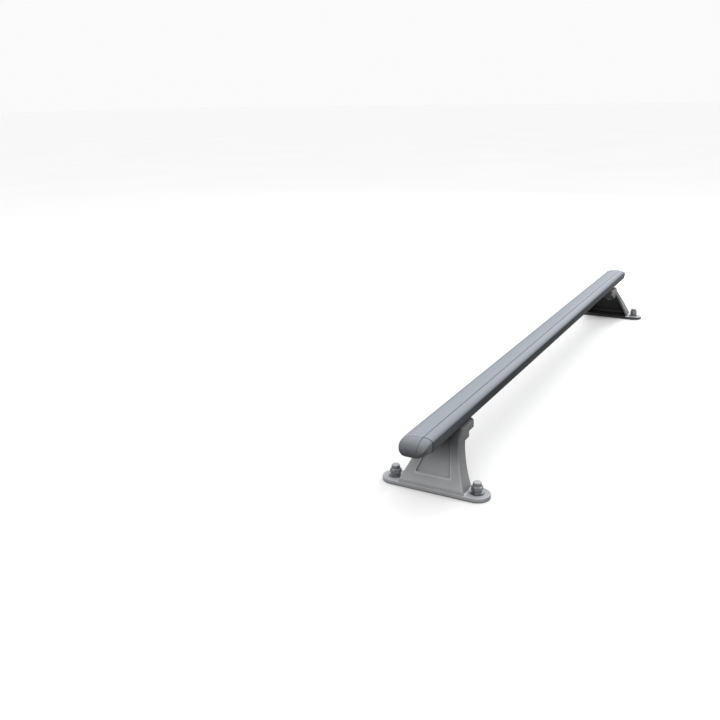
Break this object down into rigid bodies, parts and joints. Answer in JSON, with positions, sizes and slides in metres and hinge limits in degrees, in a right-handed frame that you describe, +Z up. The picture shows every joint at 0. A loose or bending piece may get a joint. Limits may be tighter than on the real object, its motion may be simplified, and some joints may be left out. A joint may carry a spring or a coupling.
{
  "type": "roof rack crossbar",
  "caption": "Roof rack crossbar: a domed hollow aluminium bar with bullnose end caps, clamped by slot bolts to leaning cast feet with stud bases.",
  "frame": {"origin": "midway between the two feet, on the plane that the rubber pads stand on, at the centre of the four roof studs", "axes": "+X along the bar, towards the right foot as seen from the front; +Y towards the rear of the vehicle; +Z up, away from the roof"},
  "size_m": [1.2184, 0.163, 0.1155],
  "materials": {
    "bar_coat": "satin charcoal powder coat on extruded aluminium",
    "cap_plastic": "satin moulded plastic, charcoal",
    "cast_coat": "matt charcoal coat on cast aluminium",
    "pad_rubber": "black moulded rubber",
    "zinc_steel": "zinc-plated steel",
    "black_steel": "black plated steel",
    "black_plastic": "black moulded plastic"
  },
  "bodies": {
    "bar": {"bar": "bar_coat", "left_end_cap": "cap_plastic", "right_end_cap": "cap_plastic"},
    "left_foot": {"left_foot": "cast_coat", "left_base_pad": "pad_rubber", "left_saddle_gasket": "pad_rubber", "left_front_roof_stud": "zinc_steel", "left_front_washer": "zinc_steel", "left_front_spring_washer": "zinc_steel", "left_front_nut": "black_steel", "left_front_stud_cap": "black_plastic", "left_front_clamp_bolt": "black_steel", "left_front_clamp_washer": "zinc_steel", "left_front_clamp_nut": "black_steel", "left_rear_roof_stud": "zinc_steel", "left_rear_washer": "zinc_steel", "left_rear_spring_washer": "zinc_steel", "left_rear_nut": "black_steel", "left_rear_stud_cap": "black_plastic", "left_rear_clamp_bolt": "black_steel", "left_rear_clamp_washer": "zinc_steel", "left_rear_clamp_nut": "black_steel"},
    "right_foot": {"right_foot": "cast_coat", "right_base_pad": "pad_rubber", "right_saddle_gasket": "pad_rubber", "right_front_roof_stud": "zinc_steel", "right_front_washer": "zinc_steel", "right_front_spring_washer": "zinc_steel", "right_front_nut": "black_steel", "right_front_stud_cap": "black_plastic", "right_front_clamp_bolt": "black_steel", "right_front_clamp_washer": "zinc_steel", "right_front_clamp_nut": "black_steel", "right_rear_roof_stud": "zinc_steel", "right_rear_washer": "zinc_steel", "right_rear_spring_washer": "zinc_steel", "right_rear_nut": "black_steel", "right_rear_stud_cap": "black_plastic", "right_rear_clamp_bolt": "black_steel", "right_rear_clamp_washer": "zinc_steel", "right_rear_clamp_nut": "black_steel"}
  },
  "joints": [
    {"name": "left_foot_slide", "type": "slide", "parent": "bar", "child": "left_foot", "axis": [1, 0, 0], "range_m": [-0.04, 0.15]},
    {"name": "right_foot_slide", "type": "slide", "parent": "bar", "child": "right_foot", "axis": [-1, 0, 0], "range_m": [-0.04, 0.15]}
  ]
}
